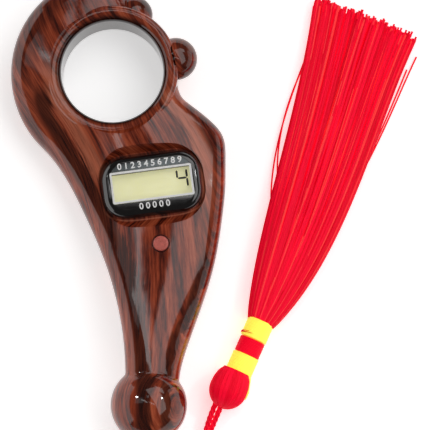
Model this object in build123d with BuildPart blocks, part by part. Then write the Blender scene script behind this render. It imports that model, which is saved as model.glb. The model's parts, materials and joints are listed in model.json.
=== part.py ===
import math
import os

from build123d import *

os.makedirs("parts", exist_ok=True)

# Digital tally counter shaped as a finger ring with a handle and a ball end.
# It lies on its back, display up. Handle along Y, millimetres.

# Ring and head
RING_X = -1.4
RING_Y = 33.6
BORE_R = 12.8
RING_WALL = 3.7
COLLAR_R = BORE_R + RING_WALL
COLLAR_EDGE_R = 0.32 * RING_WALL
COLLAR_FOOT_R = 0.32 * RING_WALL
COLLAR_HEEL_R = 0.54 * RING_WALL
COLLAR_LAP = 0.16 * RING_WALL
COLLAR_SEAT_R = COLLAR_R - COLLAR_LAP
COLLAR_FLAT_R = BORE_R + 0.4 * RING_WALL
CREST_R = COLLAR_R - COLLAR_EDGE_R
CREST_Z = 14.55
CREST_FLARE = 2.0
HEAD_WALL = 9.1
HEAD_R = COLLAR_R + HEAD_WALL
HEAD_MID_R = COLLAR_R + HEAD_WALL / 2
SHOULDER_A = 4
CURL_A = 58
HEAD_START_A = 98
HEAD_END_A = 226

# Plan points of the handle, ball end first, on its right side, shoulder and left side
HANDLE_RIGHT = ((16.7, -37.5), (19.8, -28.4), (24.4, -13.4), (26.65, 1.6), (27.0, 11.6))
SHOULDER = ((26.0, 18.6), (22.6, 22.4), (17.9, 26.0))
HANDLE_LEFT = ((-8.85, -0.9), (-2.5, -15.9), (1.2, -30.9))

# Crowned front, section by section from the head to the neck:
# place along the handle, middle of the crown, height there, radius across, half span
SIDE_ROOM = 2.8
CROWN = (
    (RING_Y + HEAD_R + SIDE_ROOM, -8.0, 13.6, 60.0, 34.0), (33.4, -8.0, 15.3, 60.0, 34.0),
    (12.0, 6.5, 15.6, 48.0, 30.0), (-13.0, 9.5, 16.1, 27.0, 20.0), (-46.0, 8.8, 15.2, 13.0, 10.5),
)
CROWN_FOOT_Z = -5.0

# Side view: lift of the back at the neck
LIFT = ((-46.0, 3.8), (-33.0, 1.7), (-20.0, 0.0))
SIDE_TOP_Z = 25.0

# Handle and ball
NECK_END_Y = -45
NECK_LEFT_X = 2.1
NECK_RIGHT_X = 15.4
BALL_X = 7.9
BALL_Y = -49.6
BALL_Z = 9.5
BALL_R = 9.5
FRONT_EDGE_R = 5.0
REAR_EDGE_R = 4.0
BALL_BLEND_R = 1.2
LOBE_A = 71
LOBE_S = COLLAR_R - 0.5
LOBE_R = 4.8
LOBE_Z = 8.0

# Case walls
WALL = 1.8
PART_Z = 9.5
CAVITY_END_Y = -38
INNER_RIGHT = ((14.7, CAVITY_END_Y), (18.0, -28.2), (22.6, -13.1), (24.85, 1.6), (25.2, 11.4))
INNER_SHOULDER = ((24.4, 17.4), (21.5, 20.9), (16.6, 24.2))
INNER_LEFT = ((-7.3, 0.0), (-0.8, -15.4), (3.0, -30.7), (3.8, CAVITY_END_Y))
INNER_LIFT = ((-46.0, 5.5), (-20.0, WALL))

# Case screws: two in the head by their ring angles, two in the handle
SCREW_HEAD_ANGLES = (125, 190)
SCREW_HANDLE_PLACES = ((23.1, 14.5), (9.4, -31.5))
SCREW_BOSS_R = 3.4
SCREW_HEAD_R = 2.0
SCREW_RECESS_R = 2.3
SCREW_SEAT_Z = 4.5
SCREW_HEAD_H = 1.5
SCREW_SHANK_R = 0.95
SCREW_PASS_R = 1.2
SCREW_TIP_Z = 11.4
SCREW_SLOT_L = 2.4
SCREW_SLOT_W = 0.5

# Display frame, turned a little from the handle's axis
DISPLAY_X = 8.7
DISPLAY_Y = 4.8
DISPLAY_TURN = 7.5
FIT = 0.1

# Liquid crystal glass and its carrier
GLASS_L = 20.4
GLASS_W = 9.6
LEDGE_W = 1.0
GLASS_T = 0.7
GLASS_TOP_Z = 13.2
CARRIER_END_RIM = 0.8
CARRIER_SIDE_RIM = 0.6
CARRIER_L = GLASS_L + 2 * CARRIER_END_RIM
CARRIER_W = GLASS_W + 2 * LEDGE_W + 2 * CARRIER_SIDE_RIM
CARRIER_R = 2.4
CARRIER_TOP_Z = 12.2
CARRIER_LIP = 1.0
CARRIER_BRIDGE = 1.5
ZEBRA_W = 1.5
ZEBRA_L = GLASS_L - 0.4
ZEBRA_Y = -GLASS_W / 2 - 0.2

# Window, frame and dish, each round the one before
SIGHT_END_LAP = 0.5
SIGHT_SIDE_LAP = 1.35
SIGHT_L = GLASS_L - 2 * SIGHT_END_LAP
SIGHT_W = GLASS_W - 2 * SIGHT_SIDE_LAP
WINDOW_LAP = 0.6
WINDOW_L = SIGHT_L + 2 * WINDOW_LAP
WINDOW_W = SIGHT_W + 2 * WINDOW_LAP
WINDOW_R = 0.8
WINDOW_T = 1.2
WINDOW_SINK = 0.2
PLUG_END_WALL = 0.3
PLUG_SIDE_WALL = 0.6
PLUG_L = CARRIER_L + 2 * PLUG_END_WALL
PLUG_W = CARRIER_W + 2 * PLUG_SIDE_WALL
PLUG_R = 3.4
PLUG_Z = 12.3
BEZEL_END_LAP = 1.0
BEZEL_SIDE_LAP = 0.65
BEZEL_L = PLUG_L + 2 * BEZEL_END_LAP
BEZEL_W = PLUG_W + 2 * BEZEL_SIDE_LAP
BEZEL_R = 5.6
BEZEL_TOP_Z = 16.2
BEZEL_EDGE_R = 2.0
BEZEL_CROWN_R = 57.0
DISH_END_GAP = 0.5
DISH_SIDE_GAP = 0.85
DISH_L = BEZEL_L + 2 * DISH_END_GAP
DISH_W = BEZEL_W + 2 * DISH_SIDE_GAP
DISH_R = BEZEL_R + 1.2
DISH_Z = 13.3
DISH_SLOPE = 38
DISH_FLOOR_T = 1.1

# Circuit board
BOARD_X1 = -11.8
BOARD_X2 = 11.8
BOARD_Y1 = -18.8
BOARD_Y2 = 9.2
BOARD_TOP_Z = PART_Z
BOARD_T = 1.0
BOARD_CORNER = 4.6
POST_X = 9.2
POST_Y = -10.6
POST_R = 2.0
POST_HOLE_R = 0.75
BOARD_SCREW_HEAD_R = 1.5
BOARD_SCREW_HEAD_H = 1.0
BOARD_SCREW_L = 2.8
CHIP_X = -5.0
CHIP_Y = 3.2
CHIP_R = 3.4
CHIP_H = 1.1

# Cell, door and contacts
CELL_X = 10.4
CELL_Y = -4.4
CELL_R = 5.8
CELL_H = 5.4
CELL_Z = 2.0
WELL_R = 6.1
WELL_WALL = 1.0
DOOR_L = 21.0
DOOR_W = 14.4
DOOR_R = 2.4
DOOR_T = 1.0
DOOR_Y = -8.6
DOOR_GAP = 0.15
DOOR_SCREW_Y = -15.6
DOOR_SCREW_R = 0.8
DOOR_SCREW_HEAD_R = 1.6
DOOR_SCREW_L = 4.0
CONTACT_T = 0.3
STRIP_W = 3.0
NOTCH_D = 0.5

# Count button, on a line through the ring's axis
COUNT_A = 13
COUNT_R = 5.35
COUNT_S = COLLAR_R - 0.2
COUNT_BACK_S = COLLAR_R - 0.65
COUNT_FLAT_S = COUNT_BACK_S - 0.45
COUNT_RECESS_R = COUNT_R + 0.15
COUNT_STEM_R = 1.8
COUNT_HOLE_R = 1.95
COUNT_FLANGE_S = BORE_R + 2.1
COUNT_FLANGE_R = 2.9
COUNT_FLANGE_T = 0.5
CHAMBER_R = 3.3
CHAMBER_S = BORE_R + 0.9
PLATE_T = 0.15
SPRING_R = 2.8
SPRING_W = 0.5
CHANNEL_H = 0.9
CHANNEL_ROOM = 0.35
CHANNEL_X1 = 8.2
CHANNEL_X2 = 10.6
CHANNEL_Y = 20.0
CHANNEL_L = 9.0
WIRE_R = 0.25
WIRE_IN_R = BORE_R + 1.85
WIRE_OUT_R = BORE_R + 2.6
WIRE_START_A = -4.6
WIRE_A = -42
WIRE_BEND_R = 3.0
WIRE_END_Y = 12.2
WIRE_Z = BOARD_TOP_Z + WIRE_R

# Reset button
RESET_X = 10.9
RESET_Y = -10.1
RESET_R = 1.9
RESET_HOLE_R = 2.25
RESET_TOP_Z = 16.4
RESET_SEAT_Z = 13.6
RESET_FLANGE_R = 3.0
RESET_FLANGE_T = 0.6
RESET_COLLAR_R = 3.8
SWITCH_W = 6.0
SWITCH_H = 2.3
PLUNGER_R = 1.7
PLUNGER_FIT = 0.15
PLUNGER_DROP = 2.2
SWITCH_X = 0.24
SWITCH_Y = -15.06
SWITCH_FLOOR = 0.7

# Cord and tassel
CORD_HOLE_R = 1.75
CORD_R = 1.5
CORD_ROOM_R = 4.0
CORD_BEND_R = 6.0
CORD_Z = CORD_R + 0.1
CORD_CORNERS = ((8.0, -74.0), (19.9, -75.0), (21.0, -58.0))
CORD_DROP_Y = -64.0
CORD_END = (26.8, -45.6, 4.3)
PIN_R = 0.8
PIN_L = 14.0
KNOT_R = 4.7
KNOT_X = 27.7
KNOT_Y = -45.4
BAND_X = 30.1
BAND_Y = -41.3
BAND_R = 3.5
TASSEL_DX = 0.405
TASSEL_DY = 0.9143
BAND_STOPS = (5.0, 9.2, 14.3)
SKIRT_DX = 0.323
SKIRT_DY = 0.9464
SKIRT_STOPS = (
    (35.4, -29.5, 3.3, 3.3), (43.3, -11.5, 8.5, 3.4), (51.7, 11.0, 12.3, 3.0), (62.2, 49.4, 14.0, 2.4)
)


def ring_point(radius, angle):
    turn = math.radians(angle)
    return (RING_X + radius * math.cos(turn), RING_Y + radius * math.sin(turn))


def ring_heading(angle):
    turn = math.radians(angle)
    return (-math.sin(turn), math.cos(turn))


def ring_axis_plane(angle, distance, height):
    turn = math.radians(angle)
    return Plane(
        origin=(*ring_point(distance, angle), height),
        x_dir=(math.sin(turn), -math.cos(turn), 0),
        z_dir=(math.cos(turn), math.sin(turn), 0),
    )


def display_plane(height):
    turn = math.radians(DISPLAY_TURN)
    return Plane(
        origin=(DISPLAY_X, DISPLAY_Y, height),
        x_dir=(math.cos(turn), math.sin(turn), 0),
        z_dir=(0, 0, 1),
    )


SCREW_PLACES = [ring_point(HEAD_MID_R, angle) for angle in SCREW_HEAD_ANGLES] + list(SCREW_HANDLE_PLACES)

# Plan of the case without its ball: collar side, shoulder, handle, neck and round head
with BuildSketch() as case_plan:
    with BuildLine():
        right = Spline(
            (NECK_RIGHT_X, NECK_END_Y), *HANDLE_RIGHT,
            tangents=((0, 1), (0, 1)),
        )
        shoulder = Spline(
            right @ 1, *SHOULDER, ring_point(COLLAR_SEAT_R, SHOULDER_A),
            tangents=((0, 1), ring_heading(SHOULDER_A)),
        )
        collar_side = RadiusArc(shoulder @ 1, ring_point(COLLAR_SEAT_R, CURL_A), -COLLAR_SEAT_R)
        curl = Spline(
            collar_side @ 1, ring_point(COLLAR_R + 0.15 * HEAD_WALL, 76), ring_point(COLLAR_R + 0.65 * HEAD_WALL, 83),
            ring_point(HEAD_R, HEAD_START_A),
            tangents=(ring_heading(CURL_A), ring_heading(HEAD_START_A)),
        )
        head = ThreePointArc(curl @ 1, ring_point(HEAD_R, 165), ring_point(HEAD_R, HEAD_END_A))
        left = Spline(
            head @ 1, *HANDLE_LEFT, (NECK_LEFT_X, NECK_END_Y),
            tangents=(ring_heading(HEAD_END_A), (0, -1)),
        )
        Line(left @ 1, right @ 0)
    make_face()

# Side view of the case: flat back that lifts toward the neck
with BuildSketch(Plane.YZ.offset(-40)) as case_side:
    with BuildLine():
        rear_line = Spline(*LIFT, tangents=((1, 0), (1, 0)))
        Polyline(
            rear_line @ 1, (CROWN[0][0], 0), (CROWN[0][0], SIDE_TOP_Z), (LIFT[0][0], SIDE_TOP_Z), rear_line @ 0
        )
    make_face()


def crown_section(y, middle, height, radius, span):
    with BuildSketch(Plane(origin=(middle, y, 0), x_dir=(1, 0, 0), z_dir=(0, -1, 0))) as section:
        with BuildLine():
            edge = height - radius + math.sqrt(radius**2 - span**2)
            top = ThreePointArc((-span, edge), (0, height), (span, edge))
            Polyline(top @ 1, (span, CROWN_FOOT_Z), (-span, CROWN_FOOT_Z), top @ 0)
        make_face()
    return section.sketch


# Body under the crowned front, and the same one wall lower
with BuildPart() as crown_body:
    loft([crown_section(*stop) for stop in CROWN])

with BuildPart() as inner_crown_body:
    loft([crown_section(y, x, z - WALL, radius - WALL, span - WALL) for y, x, z, radius, span in CROWN])

# Plan and side view of the hollow, one wall inside the case; the ring's collar stays solid
with BuildSketch() as cavity_plan:
    with BuildLine():
        inner_right = Spline(*INNER_RIGHT)
        inner_shoulder = Spline(inner_right @ 1, *INNER_SHOULDER, tangents=((0, 1), (-0.8, 0.6)))
        in_collar = Polyline(
            inner_shoulder @ 1, ring_point(0.6 * COLLAR_R, -15), ring_point(0.7 * COLLAR_R, 80),
            ring_point(COLLAR_R + 0.115 * HEAD_WALL, 82.5),
        )
        inner_curl = Spline(
            in_collar @ 1, ring_point(COLLAR_R + 0.54 * HEAD_WALL, 88), ring_point(HEAD_R - WALL, HEAD_START_A),
            tangents=((0, 1), ring_heading(HEAD_START_A)),
        )
        inner_head = ThreePointArc(
            inner_curl @ 1, ring_point(HEAD_R - WALL, 165), ring_point(HEAD_R - WALL, HEAD_END_A)
        )
        inner_left = Spline(
            inner_head @ 1, *INNER_LEFT,
            tangents=(ring_heading(HEAD_END_A), (0, -1)),
        )
        Line(inner_left @ 1, inner_right @ 0)
    make_face()

with BuildSketch(Plane.YZ.offset(-40)) as cavity_side:
    with BuildLine():
        Polyline(
            (LIFT[0][0], SIDE_TOP_Z), *INNER_LIFT, (CROWN[0][0], WALL), (CROWN[0][0], SIDE_TOP_Z), close=True
        )
    make_face()

# Outer form of the case: rounded handle and head, blended into the ball
with BuildPart() as case_form:
    extrude(case_plan.sketch, amount=20, dir=(0, 0, 1))
    add(crown_body.part, mode=Mode.INTERSECT)
    extrude(case_side.sketch, amount=80, dir=(1, 0, 0), mode=Mode.INTERSECT)
    front_rim = faces().sort_by(Axis.Z)[-1].edges().filter_by(lambda edge: edge.center().Y > NECK_END_Y + 0.1)
    fillet(front_rim, radius=FRONT_EDGE_R)
    flat_rim = faces().sort_by(Axis.Z)[0].edges().filter_by(lambda edge: edge.bounding_box().size.Y > 0.5)
    lift_face = faces().filter_by(lambda face: face.normal_at().Z < -0.7).sort_by(Axis.Y)[0]
    lift_rim = lift_face.edges().filter_by(lambda edge: edge.bounding_box().size.Y > 0.5)
    fillet(flat_rim + lift_rim, radius=REAR_EDGE_R)
    with Locations((BALL_X, BALL_Y, BALL_Z)):
        Sphere(BALL_R)
    ball_seam = edges().filter_by(
        lambda edge: edge.center().Y > NECK_END_Y - 1.5 and all(
            abs((edge.position_at(t) - Vector(BALL_X, BALL_Y, BALL_Z)).length - BALL_R) < 0.02
            for t in (0.1, 0.5, 0.9)
        )
    )
    fillet(ball_seam, radius=BALL_BLEND_R)

# Hollow of the case. What stands in it is left out of the hollow: screw bosses, board posts,
# the floor of the dish, the well round the cell and the seat of the reset button.
with BuildPart() as cavity:
    extrude(cavity_plan.sketch, amount=20, dir=(0, 0, 1))
    add(inner_crown_body.part, mode=Mode.INTERSECT)
    extrude(cavity_side.sketch, amount=80, dir=(1, 0, 0), mode=Mode.INTERSECT)
    with Locations((RING_X, RING_Y, 0)):
        Cylinder(COLLAR_R, 60, mode=Mode.SUBTRACT)
    with Locations(*SCREW_PLACES):
        Cylinder(SCREW_BOSS_R, 60, mode=Mode.SUBTRACT)
    with BuildSketch(display_plane(BOARD_TOP_Z)):
        with Locations((-POST_X, POST_Y), (POST_X, POST_Y)):
            Circle(POST_R)
    extrude(amount=10, mode=Mode.SUBTRACT)
    with BuildSketch(display_plane(DISH_Z - DISH_FLOOR_T)):
        RectangleRounded(DISH_L + 2 * WALL, DISH_W + 2 * WALL, DISH_R + WALL)
    extrude(amount=10, mode=Mode.SUBTRACT)
    with BuildSketch(Plane.XY.offset(RESET_SEAT_Z)):
        with Locations((RESET_X, RESET_Y)):
            Circle(RESET_COLLAR_R)
    extrude(amount=5, mode=Mode.SUBTRACT)
    with BuildSketch():
        with Locations((CELL_X, CELL_Y)):
            Circle(WELL_R + WELL_WALL)
            Circle(WELL_R, mode=Mode.SUBTRACT)
        with Locations((CELL_X, DOOR_SCREW_Y)):
            Circle(WELL_WALL + DOOR_SCREW_R + 0.4)
    extrude(amount=CELL_Z + CELL_H, mode=Mode.SUBTRACT)

# Whole case, hollow, before it is parted in two
with BuildPart() as case_shell:
    add(case_form.part)
    with Locations((RING_X, RING_Y, PART_Z)):
        Cylinder(CREST_R, 20, align=(Align.CENTER, Align.CENTER, Align.MIN), mode=Mode.SUBTRACT)
        Cylinder(COLLAR_FLAT_R, 20, align=(Align.CENTER, Align.CENTER, Align.MAX), mode=Mode.SUBTRACT)
    with Locations((RING_X, RING_Y, CREST_Z)):
        Cone(
            CREST_R, CREST_R + CREST_FLARE, CREST_FLARE,
            align=(Align.CENTER, Align.CENTER, Align.MIN), mode=Mode.SUBTRACT,
        )
    with Locations((*ring_point(LOBE_S, LOBE_A), LOBE_Z)):
        Sphere(LOBE_R)
    with Locations((RING_X, RING_Y, 0)):
        Cylinder(BORE_R, 60, mode=Mode.SUBTRACT)
    with BuildSketch(Plane(origin=(RING_X, RING_Y, 0), x_dir=(1, 0, 0), z_dir=(0, -1, 0))):
        with BuildLine():
            FilletPolyline(
                (BORE_R, 0), (COLLAR_R, 0), (COLLAR_R, CREST_Z), (BORE_R, CREST_Z),
                radius=(COLLAR_FOOT_R, COLLAR_HEEL_R, COLLAR_EDGE_R, CREST_R - BORE_R - 0.05),
                close=True,
            )
        make_face()
    revolve(axis=Axis((RING_X, RING_Y, 0), (0, 0, 1)))
    add(cavity.part, mode=Mode.SUBTRACT)

    # Dish and opening for the display
    with BuildSketch(display_plane(DISH_Z)):
        RectangleRounded(DISH_L, DISH_W, DISH_R)
    extrude(amount=3, taper=-DISH_SLOPE, mode=Mode.SUBTRACT)
    with BuildSketch(display_plane(PLUG_Z - 1)):
        RectangleRounded(PLUG_L + 2 * FIT, PLUG_W + 2 * FIT, PLUG_R + FIT)
    extrude(amount=5, mode=Mode.SUBTRACT)

    # Hole of the reset button
    with Locations((RESET_X, RESET_Y, RESET_SEAT_Z)):
        Cylinder(RESET_HOLE_R, 20, mode=Mode.SUBTRACT)

    # Seat, stem hole and chamber of the count button, and the channel of its wires
    with BuildSketch(ring_axis_plane(COUNT_A, COUNT_FLAT_S, PART_Z)):
        Circle(COUNT_RECESS_R)
    extrude(amount=5, mode=Mode.SUBTRACT)
    with BuildSketch(ring_axis_plane(COUNT_A, CHAMBER_S, PART_Z)):
        Circle(CHAMBER_R)
    extrude(amount=COUNT_FLANGE_S - CHAMBER_S, mode=Mode.SUBTRACT)
    with BuildSketch(ring_axis_plane(COUNT_A, COUNT_FLANGE_S, PART_Z)):
        Circle(COUNT_HOLE_R)
    extrude(amount=2, mode=Mode.SUBTRACT)
    with BuildSketch(Plane.XY.offset(WIRE_Z - CHANNEL_H / 2)):
        with BuildLine():
            channel_inner = CenterArc((RING_X, RING_Y), WIRE_IN_R - CHANNEL_ROOM, WIRE_A, COUNT_A - WIRE_A)
            channel_outer = CenterArc((RING_X, RING_Y), WIRE_OUT_R + CHANNEL_ROOM, WIRE_A, COUNT_A - WIRE_A)
            Line(channel_inner @ 0, channel_outer @ 0)
            Line(channel_inner @ 1, channel_outer @ 1)
        make_face()
        with Locations(((CHANNEL_X1 + CHANNEL_X2) / 2, CHANNEL_Y)):
            Rectangle(CHANNEL_X2 - CHANNEL_X1, CHANNEL_L)
    extrude(amount=CHANNEL_H, mode=Mode.SUBTRACT)

    # Case screws
    with Locations(*SCREW_PLACES):
        with Locations((0, 0, SCREW_SEAT_Z)):
            Cylinder(SCREW_RECESS_R, 20, align=(Align.CENTER, Align.CENTER, Align.MAX), mode=Mode.SUBTRACT)
        with Locations((0, 0, PART_Z)):
            Cylinder(SCREW_PASS_R, 10, align=(Align.CENTER, Align.CENTER, Align.MAX), mode=Mode.SUBTRACT)
            Cylinder(
                SCREW_SHANK_R, SCREW_TIP_Z - PART_Z,
                align=(Align.CENTER, Align.CENTER, Align.MIN), mode=Mode.SUBTRACT,
            )

    # Holes of the board screws
    with BuildSketch(display_plane(BOARD_TOP_Z)):
        with Locations((-POST_X, POST_Y), (POST_X, POST_Y)):
            Circle(POST_HOLE_R)
    extrude(amount=BOARD_SCREW_L, mode=Mode.SUBTRACT)

    # Seat of the battery door, opening of the cell's well, notch for its contact
    with BuildSketch():
        with Locations((CELL_X, DOOR_Y)):
            RectangleRounded(DOOR_W + 2 * DOOR_GAP, DOOR_L + 2 * DOOR_GAP, DOOR_R + DOOR_GAP)
    extrude(amount=DOOR_T, mode=Mode.SUBTRACT)
    with Locations((CELL_X, CELL_Y, DOOR_T)):
        Cylinder(WELL_R, WALL, align=(Align.CENTER, Align.CENTER, Align.MIN), mode=Mode.SUBTRACT)
    with Locations((CELL_X - WELL_R, CELL_Y, DOOR_T)):
        Box(
            2 * NOTCH_D, STRIP_W + 0.4, CELL_Z + CELL_H,
            align=(Align.CENTER, Align.CENTER, Align.MIN), mode=Mode.SUBTRACT,
        )
    with Locations((CELL_X, DOOR_SCREW_Y, DOOR_T)):
        Cylinder(
            DOOR_SCREW_R, DOOR_SCREW_L, align=(Align.CENTER, Align.CENTER, Align.MIN), mode=Mode.SUBTRACT
        )

    # Room for the cord inside the ball, its way out, and the seat of the cross pin
    with Locations((BALL_X, BALL_Y, BALL_Z)):
        Sphere(CORD_ROOM_R, mode=Mode.SUBTRACT)
        Cylinder(PIN_R, PIN_L, rotation=(0, 90, 0), mode=Mode.SUBTRACT)
        Cylinder(
            CORD_HOLE_R, 20, rotation=(90, 0, 0),
            align=(Align.CENTER, Align.CENTER, Align.MIN), mode=Mode.SUBTRACT,
        )

with BuildPart() as front_shell:
    add(case_shell.part)
    split(bisect_by=Plane.XY.offset(PART_Z), keep=Keep.TOP)
front_shell.part.label = "front_shell"
export_step(front_shell.part, "parts/front_shell.step")

with BuildPart() as rear_shell:
    add(case_shell.part)
    split(bisect_by=Plane.XY.offset(PART_Z), keep=Keep.BOTTOM)
rear_shell.part.label = "rear_shell"
export_step(rear_shell.part, "parts/rear_shell.step")

# Pan-head screws driven from the back
with BuildPart() as case_screws:
    with Locations(*SCREW_PLACES):
        with Locations((0, 0, SCREW_SEAT_Z)):
            Cylinder(SCREW_HEAD_R, SCREW_HEAD_H, align=(Align.CENTER, Align.CENTER, Align.MAX))
            Cylinder(
                SCREW_SHANK_R, SCREW_TIP_Z - SCREW_SEAT_Z, align=(Align.CENTER, Align.CENTER, Align.MIN)
            )
        with Locations((0, 0, SCREW_SEAT_Z - SCREW_HEAD_H)):
            Box(SCREW_SLOT_L, SCREW_SLOT_W, SCREW_SLOT_W, mode=Mode.SUBTRACT)
            Box(SCREW_SLOT_W, SCREW_SLOT_L, SCREW_SLOT_W, mode=Mode.SUBTRACT)
case_screws.part.label = "case_screws"
export_step(case_screws.part, "parts/case_screws.step")

# Black gloss frame: a rounded pillow on the dish with a plug through the front wall
with BuildPart() as display_bezel:
    with BuildSketch(display_plane(DISH_Z)):
        RectangleRounded(BEZEL_L, BEZEL_W, BEZEL_R)
    extrude(amount=BEZEL_TOP_Z - DISH_Z)
    with Locations(display_plane(BEZEL_TOP_Z - BEZEL_CROWN_R)):
        Cylinder(BEZEL_CROWN_R, 2 * BEZEL_L, rotation=(0, 90, 0), mode=Mode.INTERSECT)
    fillet(faces().sort_by(Axis.Z)[-1].edges(), radius=BEZEL_EDGE_R)
    with BuildSketch(display_plane(PLUG_Z)):
        RectangleRounded(PLUG_L, PLUG_W, PLUG_R)
    extrude(amount=DISH_Z - PLUG_Z)
    with BuildSketch(display_plane(PLUG_Z)):
        with Locations((0, -LEDGE_W / 2)):
            Rectangle(GLASS_L + 2 * FIT, GLASS_W + LEDGE_W + 2 * FIT)
    extrude(amount=GLASS_TOP_Z - PLUG_Z, mode=Mode.SUBTRACT)
    with BuildSketch(display_plane(PLUG_Z)):
        Rectangle(SIGHT_L, SIGHT_W)
    extrude(amount=5, mode=Mode.SUBTRACT)
    with BuildSketch(display_plane(BEZEL_TOP_Z - WINDOW_SINK - WINDOW_T)):
        RectangleRounded(WINDOW_L, WINDOW_W, WINDOW_R)
    extrude(amount=5, mode=Mode.SUBTRACT)
display_bezel.part.label = "display_bezel"
export_step(display_bezel.part, "parts/display_bezel.step")

with BuildPart() as display_window:
    with BuildSketch(display_plane(BEZEL_TOP_Z - WINDOW_SINK - WINDOW_T)):
        RectangleRounded(WINDOW_L - FIT, WINDOW_W - FIT, WINDOW_R - FIT / 2)
    extrude(amount=WINDOW_T)
display_window.part.label = "display_window"
export_step(display_window.part, "parts/display_window.step")

# Two glasses of the liquid crystal cell; the lower one has the contact ledge
with BuildPart() as lcd_front_glass:
    with BuildSketch(display_plane(GLASS_TOP_Z - GLASS_T)):
        Rectangle(GLASS_L, GLASS_W)
    extrude(amount=GLASS_T)
lcd_front_glass.part.label = "lcd_front_glass"
export_step(lcd_front_glass.part, "parts/lcd_front_glass.step")

with BuildPart() as lcd_rear_glass:
    with BuildSketch(display_plane(GLASS_TOP_Z - 2 * GLASS_T)):
        with Locations((0, -LEDGE_W / 2)):
            Rectangle(GLASS_L, GLASS_W + LEDGE_W)
    extrude(amount=GLASS_T)
lcd_rear_glass.part.label = "lcd_rear_glass"
export_step(lcd_rear_glass.part, "parts/lcd_rear_glass.step")

# Frame that carries the glass over the board, with a slot for the connector strip
with BuildPart() as lcd_carrier:
    with BuildSketch(display_plane(BOARD_TOP_Z)):
        RectangleRounded(CARRIER_L, CARRIER_W, CARRIER_R)
    extrude(amount=CARRIER_TOP_Z - BOARD_TOP_Z)
    with BuildSketch(display_plane(GLASS_TOP_Z - 2 * GLASS_T)):
        with Locations((0, -LEDGE_W / 2)):
            Rectangle(GLASS_L + FIT, GLASS_W + LEDGE_W + FIT)
    extrude(amount=5, mode=Mode.SUBTRACT)
    with BuildSketch(display_plane(BOARD_TOP_Z)):
        with Locations((0, ZEBRA_Y)):
            Rectangle(ZEBRA_L + FIT, ZEBRA_W + FIT)
        with Locations((0, CARRIER_BRIDGE)):
            Rectangle(GLASS_L - 2 * CARRIER_LIP, GLASS_W - 2 * CARRIER_LIP - CARRIER_BRIDGE)
    extrude(amount=5, mode=Mode.SUBTRACT)
lcd_carrier.part.label = "lcd_carrier"
export_step(lcd_carrier.part, "parts/lcd_carrier.step")

with BuildPart() as zebra_strip:
    with BuildSketch(display_plane(BOARD_TOP_Z)):
        with Locations((0, ZEBRA_Y)):
            Rectangle(ZEBRA_L, ZEBRA_W)
    extrude(amount=GLASS_TOP_Z - 2 * GLASS_T - BOARD_TOP_Z)
zebra_strip.part.label = "zebra_strip"
export_step(zebra_strip.part, "parts/zebra_strip.step")

# Circuit board with its lower corners cut off
with BuildPart() as main_board:
    with BuildSketch(display_plane(BOARD_TOP_Z - BOARD_T)):
        with BuildLine():
            Polyline(
                (BOARD_X1, BOARD_Y2), (BOARD_X2, BOARD_Y2), (BOARD_X2, BOARD_Y1 + BOARD_CORNER),
                (BOARD_X2 - BOARD_CORNER, BOARD_Y1), (BOARD_X1 + BOARD_CORNER, BOARD_Y1),
                (BOARD_X1, BOARD_Y1 + BOARD_CORNER), close=True,
            )
        make_face()
        with Locations((-POST_X, POST_Y), (POST_X, POST_Y)):
            Circle(POST_HOLE_R + FIT, mode=Mode.SUBTRACT)
    extrude(amount=BOARD_T)
main_board.part.label = "main_board"
export_step(main_board.part, "parts/main_board.step")

with BuildPart() as board_screws:
    with BuildSketch(display_plane(BOARD_TOP_Z - BOARD_T)):
        with Locations((-POST_X, POST_Y), (POST_X, POST_Y)):
            Circle(BOARD_SCREW_HEAD_R)
    extrude(amount=-BOARD_SCREW_HEAD_H)
    with BuildSketch(display_plane(BOARD_TOP_Z - BOARD_T)):
        with Locations((-POST_X, POST_Y), (POST_X, POST_Y)):
            Circle(POST_HOLE_R)
    extrude(amount=BOARD_T + BOARD_SCREW_L)
board_screws.part.label = "board_screws"
export_step(board_screws.part, "parts/board_screws.step")

# Encapsulated chip and the few small parts under the board
with BuildPart() as chip_blob:
    with BuildSketch(display_plane(BOARD_TOP_Z - BOARD_T)):
        with Locations((CHIP_X, CHIP_Y)):
            Circle(CHIP_R)
    extrude(amount=-CHIP_H)
    fillet(faces().sort_by(Axis.Z)[0].edges(), radius=CHIP_H * 0.7)
chip_blob.part.label = "chip_blob"
export_step(chip_blob.part, "parts/chip_blob.step")

with BuildPart() as board_parts:
    with BuildSketch(display_plane(BOARD_TOP_Z - BOARD_T)):
        with Locations((3.0, 5.6), (6.0, 5.6), (9.0, 5.6)):
            Rectangle(1.3, 2.0)
    extrude(amount=-0.6)
    with BuildSketch(display_plane(BOARD_TOP_Z - BOARD_T)):
        with Locations((6.0, 2.0)):
            RectangleRounded(8.0, 3.0, 1.4)
    extrude(amount=-2.2)
board_parts.part.label = "board_parts"
export_step(board_parts.part, "parts/board_parts.step")

# Cell, its two contacts, the door and the door's screw
with BuildPart() as button_cell:
    with Locations((CELL_X, CELL_Y, CELL_Z)):
        Cylinder(CELL_R - 0.7, 0.6, align=(Align.CENTER, Align.CENTER, Align.MIN))
    with Locations((CELL_X, CELL_Y, CELL_Z + 0.6)):
        Cylinder(CELL_R, CELL_H - 0.6, align=(Align.CENTER, Align.CENTER, Align.MIN))
    fillet(faces().sort_by(Axis.Z)[-1].edges(), radius=0.4)
button_cell.part.label = "button_cell"
export_step(button_cell.part, "parts/button_cell.step")

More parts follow.
